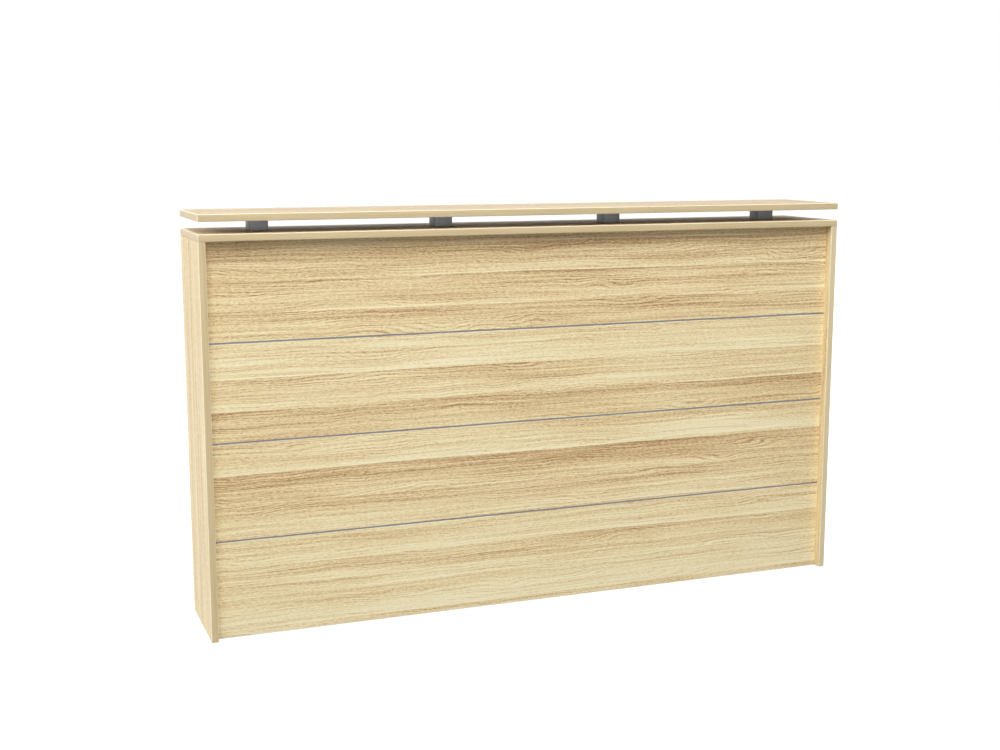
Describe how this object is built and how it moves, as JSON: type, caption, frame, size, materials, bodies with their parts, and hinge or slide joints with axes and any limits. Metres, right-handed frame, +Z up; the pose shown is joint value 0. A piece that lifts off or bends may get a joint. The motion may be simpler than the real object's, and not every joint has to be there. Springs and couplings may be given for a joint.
{
  "type": "reception counter",
  "caption": "Free-standing reception counter in light oak board: slab ends, recessed front with grey strips, capped top and a raised transaction shelf on spacer blocks, open shelving behind.",
  "frame": {"origin": "on the floor, under the middle of the counter", "axes": "+X to the right as a visitor sees it, along the width; +Y to the staff side, along the depth; +Z up"},
  "size_m": [1.8, 0.28, 1.071],
  "materials": {
    "oak_front": "light oak woodgrain melamine, grain lengthwise, matt",
    "oak_end": "light oak woodgrain melamine, grain upright on the panels, matt",
    "oak_top": "light oak woodgrain melamine, grain lengthwise, satin",
    "oak_band": "woodgrain edge band with rounded arrises, matt",
    "grey_metal": "grey anodised, satin",
    "grey_block": "grey moulded, fine matt",
    "zinc": "zinc plated, semi-bright",
    "black_plastic": "black moulded nylon, matt"
  },
  "bodies": {
    "counter": {"left_end_panel": "oak_end", "right_end_panel": "oak_end", "centre_upright": "oak_end", "left_base_board": "oak_end", "right_base_board": "oak_end", "left_staff_shelf": "oak_end", "right_staff_shelf": "oak_end", "counter_cap": "oak_top", "transaction_shelf": "oak_top", "front_board_1": "oak_front", "front_board_2": "oak_front", "front_board_3": "oak_front", "front_board_4": "oak_front", "left_end_front_band": "oak_band", "left_end_back_band": "oak_band", "right_end_front_band": "oak_band", "right_end_back_band": "oak_band", "cap_front_band": "oak_band", "cap_back_band": "oak_band", "cap_left_band": "oak_band", "cap_right_band": "oak_band", "shelf_front_band": "oak_band", "shelf_back_band": "oak_band", "shelf_left_band": "oak_band", "shelf_right_band": "oak_band", "accent_strip_1": "grey_metal", "accent_strip_2": "grey_metal", "accent_strip_3": "grey_metal", "spacer_block_1": "grey_block", "spacer_block_2": "grey_block", "spacer_block_3": "grey_block", "spacer_block_4": "grey_block", "spacer_screw_1": "zinc", "spacer_screw_2": "zinc", "spacer_screw_3": "zinc", "spacer_screw_4": "zinc", "left_end_front_insert": "zinc", "left_end_back_insert": "zinc", "centre_front_insert": "zinc", "centre_back_insert": "zinc", "right_end_front_insert": "zinc", "right_end_back_insert": "zinc", "left_end_shelf_support_1": "zinc", "left_end_shelf_support_2": "zinc", "centre_left_shelf_support_1": "zinc", "centre_left_shelf_support_2": "zinc", "centre_right_shelf_support_1": "zinc", "centre_right_shelf_support_2": "zinc", "right_end_shelf_support_1": "zinc", "right_end_shelf_support_2": "zinc"},
    "left_end_front_foot": {"left_end_front_foot": "black_plastic"},
    "left_end_back_foot": {"left_end_back_foot": "black_plastic"},
    "centre_front_foot": {"centre_front_foot": "black_plastic"},
    "centre_back_foot": {"centre_back_foot": "black_plastic"},
    "right_end_front_foot": {"right_end_front_foot": "black_plastic"},
    "right_end_back_foot": {"right_end_back_foot": "black_plastic"}
  },
  "joints": [
    {"name": "left_end_front_levelling", "type": "slide", "parent": "counter", "child": "left_end_front_foot", "axis": [0, 0, -1], "range_m": [0, 0.012]},
    {"name": "left_end_back_levelling", "type": "slide", "parent": "counter", "child": "left_end_back_foot", "axis": [0, 0, -1], "range_m": [0, 0.012]},
    {"name": "centre_front_levelling", "type": "slide", "parent": "counter", "child": "centre_front_foot", "axis": [0, 0, -1], "range_m": [0, 0.012]},
    {"name": "centre_back_levelling", "type": "slide", "parent": "counter", "child": "centre_back_foot", "axis": [0, 0, -1], "range_m": [0, 0.012]},
    {"name": "right_end_front_levelling", "type": "slide", "parent": "counter", "child": "right_end_front_foot", "axis": [0, 0, -1], "range_m": [0, 0.012]},
    {"name": "right_end_back_levelling", "type": "slide", "parent": "counter", "child": "right_end_back_foot", "axis": [0, 0, -1], "range_m": [0, 0.012]}
  ]
}
